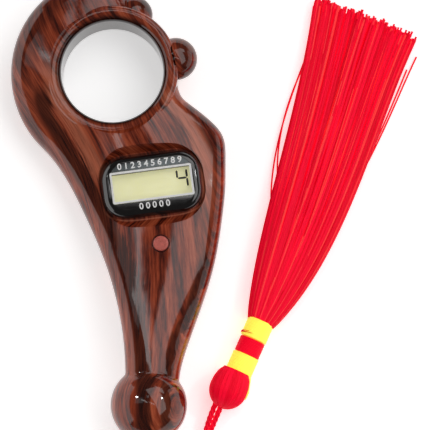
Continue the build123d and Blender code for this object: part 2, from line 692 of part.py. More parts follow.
with BuildPart() as contact_negative:
    with BuildSketch(Plane.XY.offset(DOOR_T)):
        with Locations((CELL_X - WELL_R - NOTCH_D + 0.1, CELL_Y)):
            Rectangle(WELL_R + 1.0, STRIP_W, align=(Align.MIN, Align.CENTER))
        with Locations((CELL_X, CELL_Y)):
            Circle(3.6)
    extrude(amount=CONTACT_T)
    with Locations((CELL_X, CELL_Y, DOOR_T)):
        Cylinder(1.6, CELL_Z - DOOR_T, align=(Align.CENTER, Align.CENTER, Align.MIN))
    with Locations((CELL_X - WELL_R - NOTCH_D + 0.1, CELL_Y, DOOR_T)):
        Box(
            CONTACT_T, STRIP_W, BOARD_TOP_Z - BOARD_T - DOOR_T, align=(Align.MIN, Align.CENTER, Align.MIN)
        )
contact_negative.part.label = "contact_negative"
export_step(contact_negative.part, "parts/contact_negative.step")

with BuildPart() as contact_positive:
    with Locations((CELL_X, CELL_Y, CELL_Z + CELL_H)):
        Cylinder(3.4, CONTACT_T, align=(Align.CENTER, Align.CENTER, Align.MIN))
        with Locations((2.0, 0, 0)):
            Box(
                CONTACT_T, STRIP_W, BOARD_TOP_Z - BOARD_T - CELL_Z - CELL_H,
                align=(Align.CENTER, Align.CENTER, Align.MIN),
            )
contact_positive.part.label = "contact_positive"
export_step(contact_positive.part, "parts/contact_positive.step")

with BuildPart() as battery_door:
    with BuildSketch():
        with Locations((CELL_X, DOOR_Y)):
            RectangleRounded(DOOR_W, DOOR_L, DOOR_R)
        with Locations((CELL_X, DOOR_SCREW_Y)):
            Circle(DOOR_SCREW_R + FIT, mode=Mode.SUBTRACT)
    extrude(amount=DOOR_T)
    with Locations((CELL_X, DOOR_SCREW_Y, 0)):
        Cylinder(
            DOOR_SCREW_HEAD_R + FIT, DOOR_T / 2, align=(Align.CENTER, Align.CENTER, Align.MIN), mode=Mode.SUBTRACT
        )
battery_door.part.label = "battery_door"
export_step(battery_door.part, "parts/battery_door.step")

with BuildPart() as battery_door_screw:
    with Locations((CELL_X, DOOR_SCREW_Y, DOOR_T / 2)):
        Cylinder(DOOR_SCREW_HEAD_R, DOOR_T / 2 - 0.05, align=(Align.CENTER, Align.CENTER, Align.MAX))
        Cylinder(
            DOOR_SCREW_R, DOOR_T / 2 + DOOR_SCREW_L - 0.5, align=(Align.CENTER, Align.CENTER, Align.MIN)
        )
    with Locations((CELL_X, DOOR_SCREW_Y, 0.05)):
        Box(2.2, 0.45, 0.4, mode=Mode.SUBTRACT)
        Box(0.45, 2.2, 0.4, mode=Mode.SUBTRACT)
battery_door_screw.part.label = "battery_door_screw"
export_step(battery_door_screw.part, "parts/battery_door_screw.step")

# Half-ball count button with its stem and stop flange
with BuildPart() as count_button:
    with Locations((*ring_point(COUNT_S, COUNT_A), PART_Z)):
        Sphere(COUNT_R)
    split(bisect_by=ring_axis_plane(COUNT_A, COUNT_BACK_S, PART_Z), keep=Keep.TOP)
    with BuildSketch(ring_axis_plane(COUNT_A, COUNT_FLANGE_S - COUNT_FLANGE_T, PART_Z)):
        Circle(COUNT_FLANGE_R)
    extrude(amount=COUNT_FLANGE_T)
    with BuildSketch(ring_axis_plane(COUNT_A, COUNT_FLANGE_S, PART_Z)):
        Circle(COUNT_STEM_R)
    extrude(amount=COUNT_BACK_S - COUNT_FLANGE_S + 1)
count_button.part.label = "count_button"
export_step(count_button.part, "parts/count_button.step")

with BuildPart() as count_spring:
    with BuildSketch(ring_axis_plane(COUNT_A, CHAMBER_S + PLATE_T, PART_Z)):
        Circle(SPRING_R)
        Circle(SPRING_R - SPRING_W, mode=Mode.SUBTRACT)
    extrude(amount=COUNT_FLANGE_S - COUNT_FLANGE_T - CHAMBER_S - PLATE_T)
count_spring.part.label = "count_spring"
export_step(count_spring.part, "parts/count_spring.step")

with BuildPart() as count_contact:
    with BuildSketch(ring_axis_plane(COUNT_A, CHAMBER_S, PART_Z)):
        Circle(CHAMBER_R - FIT)
    extrude(amount=PLATE_T)
count_contact.part.label = "count_contact"
export_step(count_contact.part, "parts/count_contact.step")

# Pair of wires round the collar and down to the board
with BuildPart() as count_wires:
    for reach in (WIRE_IN_R, WIRE_OUT_R):
        with BuildLine(Plane.XY.offset(WIRE_Z)) as wire_route:
            along_collar = CenterArc((RING_X, RING_Y), reach, WIRE_START_A, WIRE_A - WIRE_START_A)
            bend = JernArc(along_collar @ 1, along_collar % 1, WIRE_BEND_R, -WIRE_A)
            Line(bend @ 1, ((bend @ 1).X, WIRE_END_Y))
        with BuildSketch(Plane(origin=wire_route.line @ 0, z_dir=wire_route.line % 0)):
            Circle(WIRE_R)
        sweep(path=wire_route.line)
count_wires.part.label = "count_wires"
export_step(count_wires.part, "parts/count_wires.step")

# Reset button, and the switch under it
with BuildPart() as reset_button:
    with Locations((RESET_X, RESET_Y, RESET_SEAT_Z)):
        Cylinder(RESET_FLANGE_R, RESET_FLANGE_T, align=(Align.CENTER, Align.CENTER, Align.MAX))
        Cylinder(RESET_R, RESET_TOP_Z - RESET_SEAT_Z, align=(Align.CENTER, Align.CENTER, Align.MIN))
    fillet(faces().sort_by(Axis.Z)[-1].edges(), radius=0.35)
reset_button.part.label = "reset_button"
export_step(reset_button.part, "parts/reset_button.step")

with BuildPart() as reset_plunger:
    with Locations((RESET_X, RESET_Y, RESET_SEAT_Z - RESET_FLANGE_T)):
        Cylinder(PLUNGER_R, PLUNGER_DROP, align=(Align.CENTER, Align.CENTER, Align.MAX))
reset_plunger.part.label = "reset_plunger"
export_step(reset_plunger.part, "parts/reset_plunger.step")

with BuildPart() as reset_switch:
    with BuildSketch(display_plane(BOARD_TOP_Z)):
        with Locations((SWITCH_X, SWITCH_Y)):
            Rectangle(SWITCH_W, SWITCH_W)
    extrude(amount=SWITCH_H)
    with Locations((RESET_X, RESET_Y, RESET_SEAT_Z)):
        Cylinder(
            PLUNGER_R + PLUNGER_FIT, RESET_SEAT_Z - BOARD_TOP_Z - SWITCH_FLOOR,
            align=(Align.CENTER, Align.CENTER, Align.MAX), mode=Mode.SUBTRACT,
        )
reset_switch.part.label = "reset_switch"
export_step(reset_switch.part, "parts/reset_switch.step")

# Cross pin in the ball
with BuildPart() as cord_pin:
    with Locations((BALL_X, BALL_Y, BALL_Z)):
        Cylinder(PIN_R, PIN_L, rotation=(0, 90, 0))
cord_pin.part.label = "cord_pin"
export_step(cord_pin.part, "parts/cord_pin.step")

# Cord from the pin, out of the ball's pole, down to the table and up to the tassel's knot
with BuildPart() as tassel_cord:
    with BuildLine() as cord_route:
        FilletPolyline(
            (BALL_X, BALL_Y - PIN_R, BALL_Z), (BALL_X, CORD_DROP_Y, BALL_Z),
            *[(x, y, CORD_Z) for x, y in CORD_CORNERS], CORD_END,
            radius=CORD_BEND_R,
        )
    with BuildSketch(Plane(origin=cord_route.line @ 0, z_dir=cord_route.line % 0)):
        Circle(CORD_R)
    sweep(path=cord_route.line)
    with Locations((KNOT_X, KNOT_Y, KNOT_R)):
        Sphere(KNOT_R, mode=Mode.SUBTRACT)
tassel_cord.part.label = "tassel_cord"
export_step(tassel_cord.part, "parts/tassel_cord.step")

# Tassel: knot, three thread whippings and the spread threads, lying on the table


def tassel_plane(reach):
    return Plane(
        origin=(BAND_X + TASSEL_DX * reach, BAND_Y + TASSEL_DY * reach, BAND_R),
        x_dir=(TASSEL_DY, -TASSEL_DX, 0),
        z_dir=(TASSEL_DX, TASSEL_DY, 0),
    )


with BuildPart() as tassel_knot:
    with Locations((KNOT_X, KNOT_Y, KNOT_R)):
        Sphere(KNOT_R)
    split(bisect_by=tassel_plane(0), keep=Keep.BOTTOM)
tassel_knot.part.label = "tassel_knot"
export_step(tassel_knot.part, "parts/tassel_knot.step")

with BuildPart() as tassel_band_lower:
    with BuildSketch(tassel_plane(0)):
        Circle(BAND_R)
    extrude(amount=BAND_STOPS[0])
tassel_band_lower.part.label = "tassel_band_lower"
export_step(tassel_band_lower.part, "parts/tassel_band_lower.step")

with BuildPart() as tassel_band_middle:
    with BuildSketch(tassel_plane(BAND_STOPS[0])):
        Circle(BAND_R - 0.15)
    extrude(amount=BAND_STOPS[1] - BAND_STOPS[0])
tassel_band_middle.part.label = "tassel_band_middle"
export_step(tassel_band_middle.part, "parts/tassel_band_middle.step")

with BuildPart() as tassel_band_upper:
    with BuildSketch(tassel_plane(BAND_STOPS[1])):
        Circle(BAND_R)
    extrude(amount=BAND_STOPS[2] - BAND_STOPS[1])
tassel_band_upper.part.label = "tassel_band_upper"
export_step(tassel_band_upper.part, "parts/tassel_band_upper.step")

with BuildPart() as tassel_skirt:
    for centre_x, centre_y, half_w, half_t in SKIRT_STOPS:
        with BuildSketch(
            Plane(origin=(centre_x, centre_y, half_t + 0.1), x_dir=(SKIRT_DY, -SKIRT_DX, 0),
                  z_dir=(SKIRT_DX, SKIRT_DY, 0))
        ):
            Ellipse(half_w, half_t)
    loft(ruled=True)
    split(bisect_by=tassel_plane(BAND_STOPS[2]), keep=Keep.TOP)
tassel_skirt.part.label = "tassel_skirt"
export_step(tassel_skirt.part, "parts/tassel_skirt.step")
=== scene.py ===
import json
import math

import bpy
import numpy as np
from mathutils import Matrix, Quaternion, Vector


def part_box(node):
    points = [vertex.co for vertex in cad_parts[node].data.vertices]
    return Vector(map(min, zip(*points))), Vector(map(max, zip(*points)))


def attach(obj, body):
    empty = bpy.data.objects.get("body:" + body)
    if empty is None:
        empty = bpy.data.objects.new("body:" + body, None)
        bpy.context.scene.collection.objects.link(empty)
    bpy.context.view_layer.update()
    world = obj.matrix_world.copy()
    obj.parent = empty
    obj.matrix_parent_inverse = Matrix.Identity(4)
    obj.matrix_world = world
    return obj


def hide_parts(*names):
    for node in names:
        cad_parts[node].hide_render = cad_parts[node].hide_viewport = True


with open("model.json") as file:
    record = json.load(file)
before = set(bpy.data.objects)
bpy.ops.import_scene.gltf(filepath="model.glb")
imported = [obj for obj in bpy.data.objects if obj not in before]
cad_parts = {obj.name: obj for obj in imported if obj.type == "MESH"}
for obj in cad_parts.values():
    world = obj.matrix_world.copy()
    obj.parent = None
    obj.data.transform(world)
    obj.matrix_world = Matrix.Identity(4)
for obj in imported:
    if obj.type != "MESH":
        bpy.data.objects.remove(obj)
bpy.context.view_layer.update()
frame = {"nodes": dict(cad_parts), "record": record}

nodes = frame["nodes"]


# Case: two moulded ABS shells, held by four self-tapping screws from the back. The outside carries a
# transfer print of dark rosewood under a thick clear gloss coat, and the print runs on over the
# battery door and the count button.
def finish_of(name):
    """A new finish: its material, its nodes, its shader and the places that its detail follows."""
    mat = bpy.data.materials.new(name)
    mat.use_nodes = True
    tree = mat.node_tree
    place = tree.nodes.new("ShaderNodeTexCoord").outputs["Object"]
    return mat, tree, tree.nodes["Principled BSDF"], place


def stretched(tree, place, across, along, up):
    """Places scaled in each direction, which draws out the figure that follows them."""
    scaled = tree.nodes.new("ShaderNodeMapping")
    scaled.inputs["Scale"].default_value = (across, along, up)
    tree.links.new(place, scaled.inputs["Vector"])
    return scaled.outputs["Vector"]


def speckle(tree, place, scale, detail=4.0, roughness=0.55, distortion=0.0):
    """A fine uneven figure, 0 to 1."""
    noise = tree.nodes.new("ShaderNodeTexNoise")
    noise.inputs["Scale"].default_value = scale
    noise.inputs["Detail"].default_value = detail
    noise.inputs["Roughness"].default_value = roughness
    noise.inputs["Distortion"].default_value = distortion
    tree.links.new(place, noise.inputs["Vector"])
    return noise.outputs["Fac"]


def tones(tree, factor, *stops):
    """Colours along a factor, through rising stops of (factor, colour)."""
    ramp = tree.nodes.new("ShaderNodeValToRGB")
    marks = ramp.color_ramp.elements
    marks[0].position, marks[1].position = stops[0][0], stops[-1][0]
    for at, _ in stops[1:-1]:
        marks.new(at)
    for mark, (_, colour) in zip(marks, stops):
        mark.color = (*colour, 1.0)
    tree.links.new(factor, ramp.inputs["Fac"])
    return ramp.outputs["Color"]


def spread(tree, factor, low, high):
    """A factor of 0 to 1 laid out from low to high."""
    scaled = tree.nodes.new("ShaderNodeMapRange")
    scaled.inputs["To Min"].default_value = low
    scaled.inputs["To Max"].default_value = high
    tree.links.new(factor, scaled.inputs["Value"])
    return scaled.outputs["Result"]


def reckon(tree, kind, a, b=0.0):
    """One sum with two values, each a plain number or the result of another node."""
    step = tree.nodes.new("ShaderNodeMath")
    step.operation = kind
    for socket, value in zip(step.inputs, (a, b)):
        if isinstance(value, (int, float)):
            socket.default_value = value
        else:
            tree.links.new(value, socket)
    return step.outputs["Value"]


def product(tree, first, *others):
    for other in others:
        first = reckon(tree, "MULTIPLY", first, other)
    return first


def fade(tree, value, start, end, low=0.0, high=1.0):
    """Soft change from low to high as a value goes from start to end."""
    step = tree.nodes.new("ShaderNodeMapRange")
    step.interpolation_type = "SMOOTHSTEP"
    limits = {"From Min": start, "From Max": end, "To Min": low, "To Max": high}
    for socket, number in limits.items():
        step.inputs[socket].default_value = number
    tree.links.new(value, step.inputs["Value"])
    return step.outputs["Result"]


def relief(tree, socket, height, depth, strength=0.4):
    bump = tree.nodes.new("ShaderNodeBump")
    bump.inputs["Distance"].default_value = depth
    bump.inputs["Strength"].default_value = strength
    tree.links.new(height, bump.inputs["Height"])
    tree.links.new(bump.outputs["Normal"], socket)


def dress(mat, *names):
    for name in names:
        nodes[name].data.materials.clear()
        nodes[name].data.materials.append(mat)


# Besides the print, this colour carries painted shade, painted reflections and a painted highlight, laid
# in below.
rosewood_and_painted_light, tree, shader, place = finish_of("rosewood_print_and_painted_light")
axes = tree.nodes.new("ShaderNodeSeparateXYZ")
tree.links.new(place, axes.inputs["Vector"])
x_at, y_at, z_at = (axes.outputs[way] for way in "XYZ")
print_long, print_wide = 0.12, 0.06


def line_at(*stops):
    """Where a line of the print lies in X at each Y, through stops of (y, x)."""
    curve = tree.nodes.new("ShaderNodeFloatCurve")
    bend = curve.mapping.curves[0]
    spots = [(y / print_long + 0.5, x / print_wide + 0.5) for y, x in sorted(stops)]
    bend.points[0].location = (0.0, spots[0][1])
    bend.points[1].location = (1.0, spots[-1][1])
    for spot in spots:
        bend.points.new(*spot)
    curve.mapping.update()
    share = reckon(tree, "ADD", reckon(tree, "DIVIDE", y_at, print_long), 0.5)
    tree.links.new(share, curve.inputs["Value"])
    return product(tree, reckon(tree, "SUBTRACT", curve.outputs["Value"], 0.5), print_wide)


# The grain bends with the handle, and runs on over the edges and down the walls.
heart = line_at((-0.060, 0.0084), (-0.030, 0.0102), (-0.012, 0.0104), (0.003, 0.0082), (0.016, 0.0030),
                (0.030, -0.0060), (0.060, -0.0216))
down_walls = product(tree, z_at, 0.8)
across_grain = reckon(tree, "ADD", reckon(tree, "SUBTRACT", x_at, heart), down_walls)
grain = tree.nodes.new("ShaderNodeCombineXYZ")
for way, value in zip("XYZ", (across_grain, y_at, z_at)):
    tree.links.new(value, grain.inputs[way])
figure = speckle(tree, stretched(tree, grain.outputs["Vector"], 1.0, 0.10, 0.2), 420, 4.0, 0.55, 0.6)
fibre = speckle(tree, stretched(tree, grain.outputs["Vector"], 1.0, 0.07, 0.12), 1900, 4.0, 0.65)
mixed = reckon(tree, "ADD", product(tree, figure, 0.5), product(tree, fibre, 0.5))
wood = tones(tree, mixed, (0.39, (0.042, 0.0060, 0.0033)), (0.46, (0.135, 0.0190, 0.0080)),
             (0.53, (0.26, 0.041, 0.0155)), (0.63, (0.42, 0.086, 0.036)))
sway = product(tree, reckon(tree, "SUBTRACT", mixed, 0.5), 0.006)


def streak(half, *stops):
    """How far a point lies inside a painted band of reflection, 0 to 1."""
    gap = reckon(tree, "ADD", reckon(tree, "SUBTRACT", x_at, line_at(*stops)), sway)
    return fade(tree, reckon(tree, "ABSOLUTE", gap), half, 0.35 * half)


# Painted reflections: dark bands run down both sides of the handle, lighter sheen beside the display and
# on the ring's limb.
painted_dark_left = streak(0.0030, (0.0269, -0.0187), (0.0237, -0.0180), (0.0172, -0.0142), (0.0081, -0.0090),
                   (-0.0041, -0.0021), (-0.0162, 0.0024), (-0.0282, 0.0054), (-0.0400, 0.0068))
painted_dark_right = streak(0.0019, (-0.0100, 0.0220), (-0.0190, 0.0205), (-0.0279, 0.0175), (-0.0339, 0.0147),
                    (-0.0400, 0.0131))
dark = reckon(tree, "MAXIMUM", product(tree, painted_dark_left, fade(tree, y_at, 0.0320, 0.0255)),
              product(tree, painted_dark_right, fade(tree, y_at, -0.009, -0.016)))
# Painted sheen: these bands lighten the colour where the coat shows a light reflection.
painted_sheen_left = streak(0.0030, (0.0360, -0.0172), (0.0309, -0.0162), (0.0259, -0.0147), (0.0199, -0.0107),
                   (0.0139, -0.0077), (0.0079, -0.0050), (0.0040, -0.0040))
painted_sheen_left = product(tree, painted_sheen_left, fade(tree, y_at, 0.0380, 0.0300), fade(tree, y_at, 0.0030, 0.0090))
painted_sheen_right = streak(0.0028, (0.0269, 0.0127), (0.0211, 0.0172), (0.0150, 0.0204), (0.0059, 0.0222),
                    (-0.0041, 0.0217), (-0.0082, 0.0205))
painted_sheen_right = product(tree, painted_sheen_right, fade(tree, y_at, 0.0300, 0.0260),
                     fade(tree, y_at, -0.0060, 0.0120, low=0.2))
painted_sheen_limb = streak(0.0050, (0.0380, -0.0225), (0.0280, -0.0215), (0.0220, -0.0180), (0.0160, -0.0140))
painted_sheen_limb = product(tree, painted_sheen_limb, fade(tree, y_at, 0.0150, 0.0210, high=0.13),
                    fade(tree, y_at, 0.0360, 0.0310))

# Painted shade darkens the rim of the ring's hole; the top of its limb and the two knobs at its right are
# darker too.
ring = next(mount for mount in frame["record"]["mounts"] if mount["name"] == "finger_ring")
ring_x, ring_y, _ = ring["pos_m"]
ring_r = ring["dims"]["r_mm"] / 1000
from_ring_x = reckon(tree, "SUBTRACT", x_at, ring_x)
from_ring_y = reckon(tree, "SUBTRACT", y_at, ring_y)
from_ring = reckon(tree, "SQRT", reckon(tree, "ADD", product(tree, from_ring_x, from_ring_x),
                                        product(tree, from_ring_y, from_ring_y)))
# Painted shade round the hole's rounded rim.
painted_rim_shade = fade(tree, from_ring, ring_r + 0.0004, ring_r + 0.0016, low=0.12)
limb = product(tree, fade(tree, from_ring, 0.0165, 0.0235), fade(tree, x_at, 0.0060, -0.0130),
               fade(tree, y_at, 0.0300, 0.0390))
knobs = product(tree, fade(tree, from_ring, 0.0166, 0.0182), fade(tree, x_at, 0.0020, 0.0060),
                fade(tree, y_at, 0.0290, 0.0330))

# A painted shadow darkens the upper wall of the dish round the display, and a painted highlight lines its
# lower rim.
window_low, window_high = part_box("display_window")
display_x, display_y, _ = (window_low + window_high) / 2
display_lean = math.radians(7.5)
dish_half_long, dish_half_wide = 0.0128, 0.00815
from_display_x = reckon(tree, "SUBTRACT", x_at, display_x)
from_display_y = reckon(tree, "SUBTRACT", y_at, display_y)
side_at = reckon(tree, "ADD", product(tree, from_display_x, math.cos(display_lean)),
                 product(tree, from_display_y, math.sin(display_lean)))
up_at = reckon(tree, "SUBTRACT", product(tree, from_display_y, math.cos(display_lean)),
               product(tree, from_display_x, math.sin(display_lean)))
shares = [reckon(tree, "ABSOLUTE", reckon(tree, "DIVIDE", at, half))
          for at, half in ((side_at, dish_half_long), (up_at, dish_half_wide))]
dish = reckon(tree, "ADD", *(reckon(tree, "POWER", share, 4.0) for share in shares))
# Painted shadow on the dish's upper wall.
painted_dish_shadow = product(tree, fade(tree, dish, 1.25, 0.95), fade(tree, up_at, -0.002, 0.005))
# Painted highlight along the dish's lower rim.
off_dish_highlight = reckon(tree, "ABSOLUTE", reckon(tree, "SUBTRACT", dish, 1.06))
painted_dish_highlight = product(tree, fade(tree, off_dish_highlight, 0.14, 0.04, high=0.9), fade(tree, up_at, -0.003, -0.007))

# Painted shade and painted reflections, and the darker limb and knobs, bring the colour down here.
level = product(tree, painted_rim_shade, *(fade(tree, zone, 0.0, 1.0, low=1.0, high=left) for zone, left in (
    (dark, 0.28), (limb, 0.55), (knobs, 0.42), (painted_dish_shadow, 0.35))))
painted_sheen = painted_sheen_left
for other in (painted_sheen_right, painted_sheen_limb, painted_dish_highlight):
    painted_sheen = reckon(tree, "MAXIMUM", painted_sheen, other)
# The colour mixed in here is painted sheen and a painted highlight, laid over the wood.
sheen_painted_in = tree.nodes.new("ShaderNodeMix")
sheen_painted_in.data_type = "RGBA"
sheen_painted_in.inputs["B"].default_value = (0.54, 0.165, 0.090, 1)
tree.links.new(product(tree, painted_sheen, spread(tree, fibre, 0.1, 1.0)), sheen_painted_in.inputs["Factor"])
tree.links.new(wood, sheen_painted_in.inputs["A"])
shaded = tree.nodes.new("ShaderNodeVectorMath")
shaded.operation = "SCALE"
tree.links.new(sheen_painted_in.outputs["Result"], shaded.inputs[0])
tree.links.new(level, shaded.inputs["Scale"])
tree.links.new(shaded.outputs["Vector"], shader.inputs["Base Color"])
tree.links.new(spread(tree, fibre, 0.32, 0.45), shader.inputs["Roughness"])
shader.inputs["Specular IOR Level"].default_value = 0.0
shader.inputs["Coat Weight"].default_value = 1.0
tree.links.new(spread(tree, fibre, 0.04, 0.10), shader.inputs["Coat Roughness"])
shader.inputs["Coat IOR"].default_value = 1.52
relief(tree, shader.inputs["Coat Normal"], fibre, 0.00003, 0.35)
dress(rosewood_and_painted_light, "front_shell", "rear_shell", "battery_door", "count_button")


# Screws: zinc plated steel, pan heads with cross slots, sunk in the back; the small ones hold the
# board, and one holds the battery door. The pin across the ball, the button's spring and the cell's
# can are steel too, and the contacts are spring brass.
def metal(name, dark, light, roughness):
    mat, tree, shader, place = finish_of(name)
    worn = speckle(tree, stretched(tree, place, 1.0, 1.0, 6.0), 2200, 5.0, 0.6)
    tree.links.new(tones(tree, worn, (0.3, dark), (0.7, light)), shader.inputs["Base Color"])
    tree.links.new(spread(tree, worn, roughness - 0.08, roughness + 0.1), shader.inputs["Roughness"])
    shader.inputs["Metallic"].default_value = 1.0
    relief(tree, shader.inputs["Normal"], worn, 0.00001)
    return mat


zinc = metal("zinc_plate", (0.42, 0.42, 0.43), (0.66, 0.67, 0.69), 0.3)
dress(zinc, "case_screws", "board_screws", "battery_door_screw", "cord_pin", "count_spring", "button_cell")
brass = metal("spring_brass", (0.46, 0.30, 0.10), (0.72, 0.52, 0.22), 0.28)
dress(brass, "contact_negative", "contact_positive", "count_contact")


# Inside: glass-epoxy board with a soldered chip under a drop of epoxy, an ABS frame that carries the
# glass, a striped silicone strip between board and glass, a nylon push switch and two insulated wires.
def moulded(name, dark, light, roughness, scale=900, depth=0.00002):
    mat, tree, shader, place = finish_of(name)
    cloud = speckle(tree, place, scale, 5.0, 0.6)
    tree.links.new(tones(tree, cloud, (0.35, dark), (0.65, light)), shader.inputs["Base Color"])
    tree.links.new(spread(tree, cloud, roughness - 0.06, roughness + 0.08), shader.inputs["Roughness"])
    relief(tree, shader.inputs["Normal"], cloud, depth)
    return mat


dress(moulded("solder_mask", (0.012, 0.085, 0.03), (0.03, 0.15, 0.06), 0.4, 700), "main_board")
dress(moulded("cast_epoxy", (0.008, 0.008, 0.008), (0.02, 0.02, 0.02), 0.35), "chip_blob")
dress(moulded("fired_ceramic", (0.30, 0.24, 0.16), (0.45, 0.38, 0.28), 0.5), "board_parts")
dress(moulded("white_abs", (0.66, 0.66, 0.62), (0.78, 0.78, 0.74), 0.45), "lcd_carrier")
dress(moulded("silicone", (0.42, 0.16, 0.20), (0.6, 0.3, 0.34), 0.6), "zebra_strip")
nylon = moulded("black_nylon", (0.015, 0.015, 0.016), (0.03, 0.03, 0.032), 0.5)
dress(nylon, "reset_switch", "reset_plunger")
dress(moulded("wire_pvc", (0.40, 0.015, 0.012), (0.6, 0.03, 0.03), 0.45), "count_wires")

# Reset button: a small round cap, moulded in plain reddish ABS without print. It is free in its hole
# under the display and stands on the switch's plunger.
cap_red = moulded("reset_abs", (0.42, 0.080, 0.060), (0.58, 0.122, 0.092), 0.28, 1400, 0.00001)
dress(cap_red, "reset_button")

# Display frame: one black ABS moulding with a polished, slightly crowned face. Its plug sits in the
# opening of the dish.
bezel_black, tree, shader, place = finish_of("polished_black")
smear = speckle(tree, place, 500, 4.0, 0.6)
tree.links.new(tones(tree, smear, (0.3, (0.002, 0.002, 0.0025)), (0.7, (0.004, 0.0045, 0.005))),
               shader.inputs["Base Color"])
tree.links.new(spread(tree, smear, 0.06, 0.12), shader.inputs["Roughness"])
shader.inputs["Specular IOR Level"].default_value = 0.9
dress(bezel_black, "display_bezel")

# Liquid crystal glass: two thin glasses, one on the other, held in their carrier under the window.
# They look grey-green, and a painted light stands in for the reflector behind them, which gives back
# nearly all light.
lcd, tree, shader, place = finish_of("lcd_painted_light")
haze = speckle(tree, place, 260, 3.0, 0.5)
hue = tones(tree, haze, (0.3, (0.90, 0.87, 0.50)), (0.7, (0.96, 0.93, 0.56)))
tree.links.new(hue, shader.inputs["Base Color"])
# Painted light: the glass gives out its own colour, which makes up for the shade of the frame above it.
tree.links.new(hue, shader.inputs["Emission Color"])
shader.inputs["Emission Strength"].default_value = 0.42
tree.links.new(spread(tree, haze, 0.35, 0.5), shader.inputs["Roughness"])
dress(lcd, "lcd_front_glass", "lcd_rear_glass")

# Window: a flat pane of clear acrylic, pressed into the display frame a little below its face.
# Its gloss is nearly perfect.
clear, tree, shader, place = finish_of("clear_acrylic")
shader.inputs["Base Color"].default_value = (0.98, 0.99, 0.98, 1)
shader.inputs["Transmission Weight"].default_value = 1.0
shader.inputs["IOR"].default_value = 1.3
tree.links.new(spread(tree, speckle(tree, place, 400), 0.0, 0.02), shader.inputs["Roughness"])
dress(clear, "display_window")

# Print of the display: a white line round the window, plain numbers on the black frame, and the one
# dark figure of the liquid crystal, made of bars on the glass. The white is screen ink, a few
# hundredths of a millimetre thick.
ink_thick = 0.00003
white_ink = moulded("white_ink", (0.84, 0.84, 0.83), (0.92, 0.92, 0.91), 0.5, 1800, 0.000004)
crystal = moulded("dark_crystal", (0.055, 0.055, 0.045), (0.085, 0.085, 0.07), 0.5, 1800, 0.000002)


def on_display(x, y, z):
    """A place on the display, measured from its middle along its own sides."""
    c, s = math.cos(display_lean), math.sin(display_lean)
    return (display_x + x * c - y * s, display_y + x * s + y * c, z)


def placed(name, data):
    piece = bpy.data.objects.new(name, data)
    bpy.context.scene.collection.objects.link(piece)
    return piece


def printed(name, patches, floor, mat):
    """Flat patches of print, given by their corners on the display."""
    points, faces = [], []
    for patch in patches:
        start, n = len(points), len(patch)
        points.extend(on_display(x, y, floor + h) for h in (0.0, ink_thick) for x, y in patch)
        faces.append(tuple(start + n + k for k in range(n)))
        faces.append(tuple(start + n - 1 - k for k in range(n)))
        for k in range(n):
            after = (k + 1) % n
            faces.append((start + k, start + after, start + n + after, start + n + k))
    mesh = bpy.data.meshes.new(name)
    mesh.from_pydata(points, [], faces)
    mesh.materials.append(mat)
    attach(placed(name, mesh), "housing")


def bar(start, end, half):
    """Six-sided bar of a figure between two points."""
    (ax, ay), (bx, by) = start, end
    run_x, run_y = bx - ax, by - ay
    size = math.hypot(run_x, run_y)
    dx, dy = half * run_x / size, half * run_y / size
    return [(ax, ay), (ax + dx + dy, ay + dy - dx), (bx - dx + dy, by - dy - dx), (bx, by),
            (bx - dx - dy, by - dy + dx), (ax + dx - dy, ay + dy + dx)]


line_x, line_y, line_wide = 0.01020, 0.00395, 0.00054
corners = ((-1, -1), (1, -1), (1, 1), (-1, 1))
outer = [(sx * line_x, sy * line_y) for sx, sy in corners]
inner = [(sx * (line_x - line_wide), sy * (line_y - line_wide)) for sx, sy in corners]
line_sides = [(outer[k], outer[(k + 1) % 4], inner[(k + 1) % 4], inner[k]) for k in range(4)]
printed("window_line", line_sides, window_high.z, white_ink)

left_x, right_x, top_y, mid_y, low_y = 0.0064, 0.0088, 0.0029, 0.0008, -0.0014
bar_half, bar_gap = 0.00026, 0.0001
figure_bars = [bar((left_x, top_y), (left_x, mid_y + bar_gap), bar_half),
               bar((right_x, top_y), (right_x, mid_y + bar_gap), bar_half),
               bar((left_x + bar_gap, mid_y), (right_x - bar_gap, mid_y), bar_half),
               bar((right_x, mid_y - bar_gap), (right_x, low_y), bar_half)]
_, glass_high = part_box("lcd_front_glass")
printed("crystal_figure", figure_bars, glass_high.z + 0.00001, crystal)

for name, words, centre_y, height in (("row_of_numbers", "0 1 2 3 4 5 6 7 8 9", 0.00525, 0.00165),
                                      ("row_of_zeros", "0 0 0 0 0", -0.0052, 0.0016)):
    text = bpy.data.curves.new(name, "FONT")
    text.body = words
    text.size = 1.0
    text.offset = 0.025
    holder = placed(name, text)
    mesh = bpy.data.meshes.new_from_object(holder)
    bpy.data.objects.remove(holder)
    spots = np.array([v.co for v in mesh.vertices])
    low, high = spots.min(axis=0), spots.max(axis=0)
    scale = height / (high[1] - low[1])
    for vertex in mesh.vertices:
        x = (vertex.co.x - (low[0] + high[0]) / 2) * scale
        y = (vertex.co.y - (low[1] + high[1]) / 2) * scale + centre_y
        above_frame = Vector(on_display(x, y, 0.03))
        _, where, _, _ = nodes["display_bezel"].ray_cast(above_frame, Vector((0, 0, -1)))
        vertex.co = where + Vector((0, 0, 0.00004))
    mesh.materials.clear()
    mesh.materials.append(white_ink)
    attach(placed(name, mesh), "housing")


